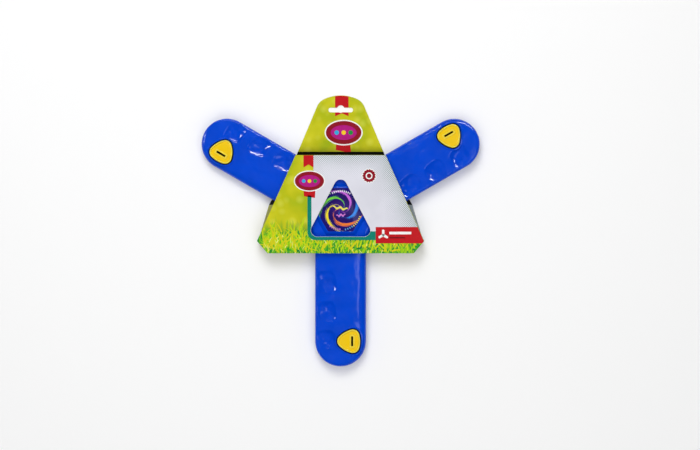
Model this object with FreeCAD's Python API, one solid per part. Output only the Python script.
"""Three-blade whistling toy boomerang, lying on its back in a folded card display sleeve.

Millimetres, +Z up. The origin is where the toy's hub axis meets the back face of the sleeve.
+Y points to the sleeve's header, and one blade points along -Y.
"""
import FreeCAD, Part
import math
import os

from FreeCAD import Vector

# Toy: plan
BLADE_ANGLES = (270.0, 30.0, 150.0)  # directions that the three blades point in
TIP_CENTRE = 131.5                   # hub axis to the centre of a blade's round tip
BLADE_WIDTH = 51.0
WEB_RADIUS = 55.0                    # concave curve between two blades

# Toy: section
BLADE_HEIGHT = 15.0
LOWER_SHELL_HEIGHT = 6.0             # the joint line is this far above the underside
WALL = 1.8
TOP_ROUND = 6.0
BOTTOM_ROUND = 2.5

# Toy: raised hub and its label
HUB_ACROSS_FLATS = 51.0
HUB_RISE = 3.0
HUB_BEVEL = 3.2
LABEL_THICKNESS = 0.25
LABEL_MARGIN = 0.6

# Toy: finger scoops along each trailing edge, as (distance back from the tip centre, radius at the surface)
SCOOPS = ((60.0, 9.0), (31.0, 8.6), (3.5, 7.8))
SCOOP_OFFSET = -12.6                 # from the blade's centre line, on the trailing side
SCOOP_DEPTH = 2.4

# Whistle: a cap shaped as a triangle with round corners and bulging sides
WHISTLE_OFFSET = 9.25                # from the blade's centre line, on the leading side
CAP_CORNER_RADIUS = 7.0
CAP_CORNER_CENTRE = 6.0              # cap centre to the centre of each corner's curve
CAP_SIDE_RADIUS = 25.5
CAP_PROUD = 1.2                      # height of the cap above the blade
CAP_ROUND = 0.9
CAP_SEAT = 1.0                       # depth of the recess that the cap's flange sits in
CAP_LEDGE = 1.2                      # width of the ledge under the flange
CAP_SKIRT_DEPTH = 3.0
CAP_SKIRT_WALL = 1.2
SLOT_LENGTH = 10.0
SLOT_WIDTH = 2.0
SLOT_OFFSET = 2.25                   # slot centre from the cap centre, towards the leading edge
CHAMBER_WALL = 1.2
LIP_WIDTH = 1.6                      # raised rim round the recess
LIP_HEIGHT = 0.5
CAP_GAP = 0.3                        # between the flange and its recess, and the skirt and its hole
SKIRT_FIT = 0.05                     # between the skirt and the chamber

# Shell screws, driven from the underside, two to a blade
INNER_SCREW = 50.0                   # hub axis to the inner screw, on the centre line
OUTER_SCREW_SETBACK = 26.5           # tip centre back to the outer screw
OUTER_SCREW_OFFSET = 12.0            # from the blade's centre line, on the leading side
SCREW_RADIUS = 1.4
SCREW_HEAD_RADIUS = 2.7
SCREW_HEAD_HEIGHT = 1.8
SCREW_RECESS = 0.6                   # depth of the head below the underside
SCREW_DEPTH = 5.5                    # into the upper shell
SCREW_CLEARANCE = 0.2
POST_WALL = 1.8
DRIVE_WIDTH = 0.7
DRIVE_LENGTH = 3.0
DRIVE_DEPTH = 1.0

# Sleeve
CARD = 0.5                           # thickness of the card
BODY_GAP = 0.4                       # between the toy or the flap and the card behind it
SLEEVE_DEPTH = 22.5                  # back face to front face
FOLD_Y = 54.4                        # top fold of the front panel
TOP_HALF_WIDTH = 44.9
SIDE_CORNER_X = 83.3
SIDE_CORNER_Y = -31.3
BOTTOM_CORNER_X = 73.0
BOTTOM_Y = -43.5
SIDE_WALL_GAP = 4.3                  # from a side blade's lower edge down to the side wall
WALL_FLARE = 5.4                     # the side walls lean out by this much at that end
RETURN_GAP = 2.4                     # between the top return's end and a side blade
BLADE_SLOT_GAP = 1.4                 # between the lower blade and the bottom walls
GLUE_FLAP_WIDTH = 9.0
GLUE_FLAP_SETBACK = 5.0

# Sleeve: window
WINDOW_CORNER_RADIUS = 6.4
WINDOW_TOP_Y = 30.0
WINDOW_BOTTOM_Y = -26.9
WINDOW_HALF_WIDTH = 29.6

# Sleeve: header with a hang slot
HEADER_TOP_Y = 115.5
HEADER_SIDE_ANGLE = 22.8             # of its sides, from +Y
HEADER_TOP_RADIUS = 40.0
HEADER_SHOULDER_RADIUS = 15.0
HANG_SLOT_LENGTH = 25.0
HANG_SLOT_HEIGHT = 4.8
HANG_SLOT_Y = 100.8
HANG_BUMP_RADIUS = 3.85
HANG_BUMP_TOP_Y = 105.6

# Levels
TOY_BASE_Z = 2 * CARD + BODY_GAP
TOP_Z = BLADE_HEIGHT
PANEL_BACK_Z = SLEEVE_DEPTH - CARD
FLAP_BASE_Z = CARD + BODY_GAP
HINGE_Z = 2 * CARD
HINGE_Y = FOLD_Y + BODY_GAP
CUT = 1.0                            # how far a cutting solid runs past what it cuts
FUSE = 0.2                           # how far a post runs into the wall that it grows from

# Places worked out from the sizes above
SCREW_PLACES = ((INNER_SCREW, 0.0), (TIP_CENTRE - OUTER_SCREW_SETBACK, OUTER_SCREW_OFFSET))
SIDE_SLOPE = (SIDE_CORNER_X - TOP_HALF_WIDTH) / (FOLD_Y - SIDE_CORNER_Y)
BLADE_SLOPE = math.tan(math.radians(BLADE_ANGLES[1]))
# Where a side blade's edge meets x = 0
BLADE_EDGE_Y = BLADE_WIDTH / 2 / math.cos(math.radians(BLADE_ANGLES[1]))
SIDE_WALL_START_Y = ((BLADE_SLOPE * (TOP_HALF_WIDTH + SIDE_SLOPE * FOLD_Y) - BLADE_EDGE_Y - SIDE_WALL_GAP)
                     / (1 + BLADE_SLOPE * SIDE_SLOPE))
RETURN_HALF_WIDTH = (FOLD_Y - CARD - BLADE_EDGE_Y) / BLADE_SLOPE - RETURN_GAP


def turned(shape, angle):
    """A copy of shape turned about the hub axis."""
    copy = shape.copy()
    copy.rotate(Vector(0, 0, 0), Vector(0, 0, 1), angle)
    return copy


def raised(shape, height):
    copy = shape.copy()
    copy.translate(Vector(0, 0, height))
    return copy


def polar(distance, angle):
    return Vector(distance * math.cos(math.radians(angle)), distance * math.sin(math.radians(angle)), 0)


def prism(wire, low, high):
    """The solid over a flat wire, between two heights."""
    return raised(Part.Face(wire).extrude(Vector(0, 0, high - low)), low)


def rim_edges(solid, height):
    """The edges of solid that lie flat at this height."""
    return [edge for edge in solid.Edges
            if abs(edge.BoundBox.ZMin - height) < 1e-4 and abs(edge.BoundBox.ZMax - height) < 1e-4]


def round_hull(centres, radius):
    """The outline round equal circles at these centres, which run anticlockwise."""
    count = len(centres)
    normals = []
    for i in range(count):
        step = centres[(i + 1) % count] - centres[i]
        normals.append(Vector(step.y, -step.x, 0).normalize())
    edges = []
    for i in range(count):
        before, after = normals[i - 1], normals[i]
        middle = before + after
        if middle.Length < 1e-6:
            middle = Vector(before.y * -1, before.x, 0)
        middle.normalize()
        start = centres[i] + before * radius
        end = centres[i] + after * radius
        edges.append(Part.Arc(start, centres[i] + middle * radius, end).toShape())
        edges.append(Part.LineSegment(end, centres[(i + 1) % count] + after * radius).toShape())
    return Part.Wire(edges)


def polygon(points):
    return Part.makePolygon([Vector(x, y, 0) for x, y in points], True)


def hexagon(across_flats, height):
    """A hexagon with a flat side across each blade."""
    corner = across_flats / 2 / math.cos(math.radians(30))
    points = [polar(corner, 60 * i) + Vector(0, 0, height) for i in range(6)]
    return Part.makePolygon(points + points[:1])


# Toy shells

def planform(inset):
    """The toy's outline, moved inwards by inset. Blades run along their own angle from the hub."""
    half = BLADE_WIDTH / 2 - inset
    web = WEB_RADIUS + inset
    web_centre = (half + web) / math.sin(math.radians(60))
    tangent = (half + web) / math.tan(math.radians(60))
    edges = []
    for angle in sorted(BLADE_ANGLES):
        def place(along, across):
            return polar(along, angle) + polar(across, angle + 90)
        next_root = polar(tangent, angle + 120) - polar(half, angle + 210)
        edges.append(Part.LineSegment(place(tangent, -half), place(TIP_CENTRE, -half)).toShape())
        edges.append(Part.Arc(place(TIP_CENTRE, -half), place(TIP_CENTRE + half, 0),
                              place(TIP_CENTRE, half)).toShape())
        edges.append(Part.LineSegment(place(TIP_CENTRE, half), place(tangent, half)).toShape())
        edges.append(Part.Arc(place(tangent, half), polar(web_centre - web, angle + 60), next_root).toShape())
    return Part.Wire(edges)


def hub_block(inset, foot):
    """The raised hub with sloping sides, moved inwards by inset, standing at the height foot."""
    base = hexagon(HUB_ACROSS_FLATS - 2 * inset, foot)
    crown = hexagon(HUB_ACROSS_FLATS - 2 * HUB_BEVEL - 2 * inset, foot + HUB_RISE)
    return Part.makeLoft([base, crown], True, True)


def on_blades(shape):
    """Copies of shape, modelled on a blade that runs along +X, on each of the blades."""
    return [turned(shape, angle) for angle in BLADE_ANGLES]


def scoop_ball(setback, surface_radius, grow):
    """The ball that hollows one finger scoop."""
    radius = (surface_radius ** 2 + SCOOP_DEPTH ** 2) / (2 * SCOOP_DEPTH)
    centre = Vector(TIP_CENTRE - setback, SCOOP_OFFSET, TOP_Z - SCOOP_DEPTH + radius)
    return Part.makeSphere(radius + grow, centre)


def cap_outline(offset):
    """The cap's outline grown by offset, on a blade that runs along +X. One corner points across the
    blade to its trailing side. Each side is an arc that runs smoothly into the corners' arcs."""
    centre = Vector(TIP_CENTRE, WHISTLE_OFFSET, 0)
    corner = CAP_CORNER_RADIUS + offset
    side = CAP_SIDE_RADIUS + offset
    half_span = CAP_CORNER_CENTRE * math.sin(math.radians(60))
    reach = CAP_SIDE_RADIUS - CAP_CORNER_RADIUS
    side_setback = math.sqrt(reach ** 2 - half_span ** 2) - CAP_CORNER_CENTRE / 2

    def meeting(corner_angle, side_angle):
        """Where the arc of the corner in one direction meets the arc of the side in another."""
        corner_centre = centre + polar(CAP_CORNER_CENTRE, corner_angle)
        outwards = (corner_centre - centre + polar(side_setback, side_angle)).normalize()
        return corner_centre + outwards * corner

    edges = []
    for angle in (-90, 30, 150):
        start, end = meeting(angle, angle - 60), meeting(angle, angle + 60)
        tip = centre + polar(CAP_CORNER_CENTRE + corner, angle)
        bulge = centre + polar(side - side_setback, angle + 60)
        edges.append(Part.Arc(start, tip, end).toShape())
        edges.append(Part.Arc(end, bulge, meeting(angle + 120, angle + 60)).toShape())
    return Part.Wire(edges)


def upper_shell():
    outer = prism(planform(0), LOWER_SHELL_HEIGHT, TOP_Z)
    outer = outer.makeFillet(TOP_ROUND, rim_edges(outer, TOP_Z))
    outer = outer.fuse(hub_block(0, TOP_Z))
    hollow = prism(planform(WALL), LOWER_SHELL_HEIGHT - CUT, TOP_Z - WALL)
    hollow = hollow.makeFillet(TOP_ROUND - WALL, rim_edges(hollow, TOP_Z - WALL))
    hollow = hollow.fuse(hub_block(WALL, TOP_Z - WALL))
    lip = prism(cap_outline(CAP_GAP + LIP_WIDTH), TOP_Z - WALL / 2, TOP_Z + LIP_HEIGHT)
    outer = outer.fuse(on_blades(lip))
    for setback, surface_radius in SCOOPS:
        hollow = hollow.cut(on_blades(scoop_ball(setback, surface_radius, WALL)))
        outer = outer.cut(on_blades(scoop_ball(setback, surface_radius, 0)))
    shell = outer.cut(hollow)
    recess = prism(cap_outline(CAP_GAP), TOP_Z - CAP_SEAT, TOP_Z + LIP_HEIGHT + CUT)
    hole = prism(cap_outline(-CAP_LEDGE), TOP_Z - WALL - CUT, TOP_Z)
    shell = shell.cut(on_blades(recess) + on_blades(hole))
    for distance, across in SCREW_PLACES:
        place = Vector(distance, across, LOWER_SHELL_HEIGHT)
        post = Part.makeCylinder(SCREW_RADIUS + POST_WALL, TOP_Z - WALL + FUSE - LOWER_SHELL_HEIGHT, place)
        pilot = Part.makeCylinder(SCREW_RADIUS, SCREW_DEPTH, place)
        shell = shell.fuse(on_blades(post)).cut(on_blades(pilot))
    return shell


def lower_shell():
    outer = prism(planform(0), 0, LOWER_SHELL_HEIGHT)
    outer = outer.makeFillet(BOTTOM_ROUND, rim_edges(outer, 0))
    hollow = prism(planform(WALL), WALL, LOWER_SHELL_HEIGHT + CUT)
    shell = outer.cut(hollow)
    seat = SCREW_RECESS + SCREW_HEAD_HEIGHT
    for distance, across in SCREW_PLACES:
        place = Vector(distance, across, 0)
        post = Part.makeCylinder(SCREW_HEAD_RADIUS + SCREW_CLEARANCE + POST_WALL,
                                 LOWER_SHELL_HEIGHT - WALL + FUSE, place + Vector(0, 0, WALL - FUSE))
        bore = Part.makeCylinder(SCREW_RADIUS + SCREW_CLEARANCE, LOWER_SHELL_HEIGHT + 2 * CUT,
                                 place - Vector(0, 0, CUT))
        below = place - Vector(0, 0, CUT)
        head_room = Part.makeCylinder(SCREW_HEAD_RADIUS + SCREW_CLEARANCE, seat + CUT, below)
        shell = shell.fuse(on_blades(post)).cut(on_blades(bore) + on_blades(head_room))
    return shell


def screw(distance, across):
    """A pan-head screw with a cross drive, its head down."""
    seat = SCREW_RECESS + SCREW_HEAD_HEIGHT
    place = Vector(distance, across, 0)
    head = Part.makeCylinder(SCREW_HEAD_RADIUS, SCREW_HEAD_HEIGHT, place + Vector(0, 0, SCREW_RECESS))
    head = head.makeFillet(SCREW_HEAD_HEIGHT / 3, rim_edges(head, SCREW_RECESS))
    length = LOWER_SHELL_HEIGHT + SCREW_DEPTH - seat
    shank = Part.makeCylinder(SCREW_RADIUS, length, place + Vector(0, 0, seat))
    body = head.fuse(shank)
    for size_x, size_y in ((DRIVE_LENGTH, DRIVE_WIDTH), (DRIVE_WIDTH, DRIVE_LENGTH)):
        corner = place + Vector(-size_x / 2, -size_y / 2, SCREW_RECESS - CUT)
        body = body.cut(Part.makeBox(size_x, size_y, DRIVE_DEPTH + CUT, corner))
    return body


def shell_screws():
    screws = []
    for distance, across in SCREW_PLACES:
        screws += on_blades(screw(distance, across))
    return Part.makeCompound(screws)


def hub_label():
    across_flats = HUB_ACROSS_FLATS - 2 * HUB_BEVEL - 2 * LABEL_MARGIN
    foot = TOP_Z + HUB_RISE
    return Part.Face(hexagon(across_flats, foot)).extrude(Vector(0, 0, LABEL_THICKNESS))


# Whistles

def skirt_offset():
    """The skirt's outer outline, against the cap's."""
    return -CAP_LEDGE - CAP_GAP


def whistle_cap():
    flange = prism(cap_outline(0), TOP_Z - CAP_SEAT, TOP_Z + CAP_PROUD)
    flange = flange.makeFillet(CAP_ROUND, rim_edges(flange, TOP_Z + CAP_PROUD))
    foot = TOP_Z - CAP_SEAT - CAP_SKIRT_DEPTH
    skirt = prism(cap_outline(skirt_offset()), foot, TOP_Z - CAP_SEAT)
    inside = prism(cap_outline(skirt_offset() - CAP_SKIRT_WALL), foot - CUT, TOP_Z - CAP_SEAT)
    corner = Vector(TIP_CENTRE - SLOT_LENGTH / 2, WHISTLE_OFFSET + SLOT_OFFSET - SLOT_WIDTH / 2,
                    TOP_Z - CAP_SEAT - CUT)
    slot = Part.makeBox(SLOT_LENGTH, SLOT_WIDTH, CAP_SEAT + CAP_PROUD + 2 * CUT, corner)
    return flange.fuse(skirt.cut(inside)).cut(slot)


def whistle_chamber():
    """The closed-bottomed cup that stands on the lower shell's floor and takes the cap's skirt."""
    mouth = TOP_Z - WALL - FUSE
    inner = skirt_offset() + SKIRT_FIT
    cup = prism(cap_outline(inner + CHAMBER_WALL), WALL, mouth)
    return cup.cut(prism(cap_outline(inner), WALL + CHAMBER_WALL, mouth + CUT))


# Card sleeve

def side_x(y):
    """Half the front panel's width at this height up the sleeve."""
    return TOP_HALF_WIDTH + SIDE_SLOPE * (FOLD_Y - y)


def mirrored(points):
    """The outline's right half, listed upwards, completed with its left half."""
    return points + [(-x, y) for x, y in reversed(points)]


def header_edges():
    """The header's edge from its right base corner over the top to its left base corner."""
    along = Vector(-math.sin(math.radians(HEADER_SIDE_ANGLE)), math.cos(math.radians(HEADER_SIDE_ANGLE)), 0)
    inward = Vector(-along.y, along.x, 0)
    base = Vector(TOP_HALF_WIDTH, FOLD_Y, 0)
    top_centre = Vector(0, HEADER_TOP_Y - HEADER_TOP_RADIUS, 0)
    start = base + inward * HEADER_SHOULDER_RADIUS - top_centre
    reach = HEADER_TOP_RADIUS - HEADER_SHOULDER_RADIUS
    half_b = start.dot(along)
    travel = -half_b + math.sqrt(half_b ** 2 - start.dot(start) + reach ** 2)
    shoulder = base + inward * HEADER_SHOULDER_RADIUS + along * travel
    outwards = (shoulder - top_centre).normalize()
    leave = base + along * travel
    meet = top_centre + outwards * HEADER_TOP_RADIUS
    middle = shoulder + (outwards - inward).normalize() * HEADER_SHOULDER_RADIUS

    def flip(point):
        return Vector(-point.x, point.y, 0)
    return [
        Part.LineSegment(base, leave).toShape(),
        Part.Arc(leave, middle, meet).toShape(),
        Part.Arc(meet, Vector(0, HEADER_TOP_Y, 0), flip(meet)).toShape(),
        Part.Arc(flip(meet), flip(middle), flip(leave)).toShape(),
        Part.LineSegment(flip(leave), flip(base)).toShape(),
    ]


def hang_slot():
    """The cutter for the hang slot: a round-ended bar with a round bump over its middle."""
    reach = (HANG_SLOT_LENGTH - HANG_SLOT_HEIGHT) / 2
    bar = prism(round_hull([Vector(-reach, HANG_SLOT_Y, 0), Vector(reach, HANG_SLOT_Y, 0)],
                           HANG_SLOT_HEIGHT / 2), -CUT, HINGE_Z + CUT)
    bump_place = Vector(0, HANG_BUMP_TOP_Y - HANG_BUMP_RADIUS, -CUT)
    return bar.fuse(Part.makeCylinder(HANG_BUMP_RADIUS, HINGE_Z + 2 * CUT, bump_place))


def back_card():
    wall_x = side_x(SIDE_WALL_START_Y) + WALL_FLARE
    right = [(BOTTOM_CORNER_X, BOTTOM_Y), (SIDE_CORNER_X, SIDE_CORNER_Y), (wall_x, SIDE_WALL_START_Y),
             (TOP_HALF_WIDTH, FOLD_Y)]
    corners = [Vector(x, y, 0) for x, y in right]
    left = [Vector(-point.x, point.y, 0) for point in reversed(corners)]
    edges = [Part.LineSegment(a, b).toShape() for a, b in zip(corners, corners[1:])]
    edges += header_edges()
    edges += [Part.LineSegment(a, b).toShape() for a, b in zip(left, left[1:])]
    edges.append(Part.LineSegment(left[-1], corners[0]).toShape())
    return prism(Part.Wire(edges), 0, CARD).cut(hang_slot())


def header_card():
    """The front ply of the header, above the fold that the flap turns on."""
    edges = header_edges()
    edges.append(Part.LineSegment(edges[-1].Vertexes[-1].Point, edges[0].Vertexes[0].Point).toShape())
    ply = prism(Part.Wire(edges), CARD, 2 * CARD)
    below = Part.makeBox(4 * TOP_HALF_WIDTH, 2 * BODY_GAP, 4 * CARD,
                         Vector(-2 * TOP_HALF_WIDTH, FOLD_Y - BODY_GAP, 0))
    return ply.cut(below).cut(hang_slot())


def front_panel():
    right = [(BOTTOM_CORNER_X, BOTTOM_Y), (SIDE_CORNER_X, SIDE_CORNER_Y), (TOP_HALF_WIDTH, FOLD_Y)]
    panel = prism(polygon(mirrored(right)), PANEL_BACK_Z, SLEEVE_DEPTH)
    low_x = WINDOW_HALF_WIDTH - WINDOW_CORNER_RADIUS
    low_y = WINDOW_BOTTOM_Y + WINDOW_CORNER_RADIUS
    centres = [Vector(0, WINDOW_TOP_Y - WINDOW_CORNER_RADIUS, 0), Vector(-low_x, low_y, 0),
               Vector(low_x, low_y, 0)]
    window = round_hull(centres, WINDOW_CORNER_RADIUS)
    return panel.cut(prism(window, PANEL_BACK_Z - CUT, SLEEVE_DEPTH + CUT))


def top_return():
    """The wall that joins the front panel to the header's fold."""
    foot = HINGE_Z + BODY_GAP
    return Part.makeBox(2 * RETURN_HALF_WIDTH, CARD, PANEL_BACK_Z - foot,
                        Vector(-RETURN_HALF_WIDTH, FOLD_Y - CARD, foot))


def wall(top_start, top_end, low_start, low_end):
    """A wall of card from the front panel down to the glue flaps. Its thickness lies on the left of
    the way from start to end."""
    def strip(start, end, height):
        a = Vector(start[0], start[1], height)
        b = Vector(end[0], end[1], height)
        side = Vector(a.y - b.y, b.x - a.x, 0).normalize() * CARD
        return Part.makePolygon([a, b, b + side, a + side, a])
    return Part.makeLoft([strip(low_start, low_end, FLAP_BASE_Z), strip(top_start, top_end, PANEL_BACK_Z)],
                         True, True)


def flipped(shape):
    return shape.mirror(Vector(0, 0, 0), Vector(1, 0, 0))


def right_walls():
    """The side, corner and bottom walls of the sleeve's right half."""
    start = (side_x(SIDE_WALL_START_Y), SIDE_WALL_START_Y)
    flared = (start[0] + WALL_FLARE, SIDE_WALL_START_Y)
    corner = (SIDE_CORNER_X, SIDE_CORNER_Y)
    bottom = (BOTTOM_CORNER_X, BOTTOM_Y)
    inner = (BLADE_WIDTH / 2 + BLADE_SLOT_GAP, BOTTOM_Y)
    side_wall = wall(corner, start, corner, flared)
    bottom_wall = wall(inner, bottom, inner, bottom)
    return {
        "side_wall": side_wall,
        "corner_wall": wall(bottom, corner, bottom, corner).cut([side_wall, bottom_wall]),
        "bottom_wall": bottom_wall,
    }


def wall_foot_x(y):
    """Where the middle of the side wall's thickness stands at its foot."""
    flare = WALL_FLARE * (y - SIDE_CORNER_Y) / (SIDE_WALL_START_Y - SIDE_CORNER_Y)
    return side_x(y) + flare - CARD / 2


def right_flaps(side_wall):
    """The glue flaps folded inwards from the foot of the side wall and of the bottom wall."""
    top = FLAP_BASE_Z + CARD
    start_y = SIDE_WALL_START_Y - GLUE_FLAP_SETBACK
    low_y = SIDE_CORNER_Y + GLUE_FLAP_SETBACK
    side = polygon([(wall_foot_x(start_y), start_y),
                    (wall_foot_x(start_y) - GLUE_FLAP_WIDTH, start_y - GLUE_FLAP_SETBACK),
                    (wall_foot_x(low_y) - GLUE_FLAP_WIDTH, low_y + GLUE_FLAP_SETBACK),
                    (wall_foot_x(low_y), low_y)])
    foot_y = BOTTOM_Y + CARD
    inner_x = BLADE_WIDTH / 2 + GLUE_FLAP_SETBACK
    outer_x = BOTTOM_CORNER_X - GLUE_FLAP_SETBACK
    bottom = polygon([(inner_x, foot_y), (outer_x, foot_y),
                      (outer_x - GLUE_FLAP_SETBACK, foot_y + GLUE_FLAP_WIDTH),
                      (inner_x + GLUE_FLAP_SETBACK, foot_y + GLUE_FLAP_WIDTH)])
    return {
        "glue_flap_side": prism(side, FLAP_BASE_Z, top).cut(side_wall),
        "glue_flap_bottom": prism(bottom, FLAP_BASE_Z, top),
    }


def sleeve_nodes():
    nodes = {
        "back_card": back_card(),
        "header_card": header_card(),
        "front_panel": front_panel(),
        "top_return": top_return(),
    }
    walls = right_walls()
    for name, shape in {**walls, **right_flaps(walls["side_wall"])}.items():
        nodes[name + "_right"] = shape
        nodes[name + "_left"] = flipped(shape)
    return nodes


def toy_nodes():
    nodes = {
        "upper_shell": upper_shell(),
        "lower_shell": lower_shell(),
        "hub_label": hub_label(),
        "shell_screws": shell_screws(),
    }
    for number, shape in enumerate(on_blades(whistle_cap()), 1):
        nodes["whistle_cap_%d" % number] = shape
    for number, shape in enumerate(on_blades(whistle_chamber()), 1):
        nodes["whistle_chamber_%d" % number] = shape
    return {name: raised(shape, TOY_BASE_Z) for name, shape in nodes.items()}


os.makedirs("parts", exist_ok=True)
for node, solid in {**sleeve_nodes(), **toy_nodes()}.items():
    solid.exportStep("parts/%s.step" % node)
    print("%-24s solids %d  valid %s  volume %.0f" % (node, len(solid.Solids), solid.isValid(), solid.Volume))
print("flap hinge at y %.1f, z %.1f" % (HINGE_Y, HINGE_Z))
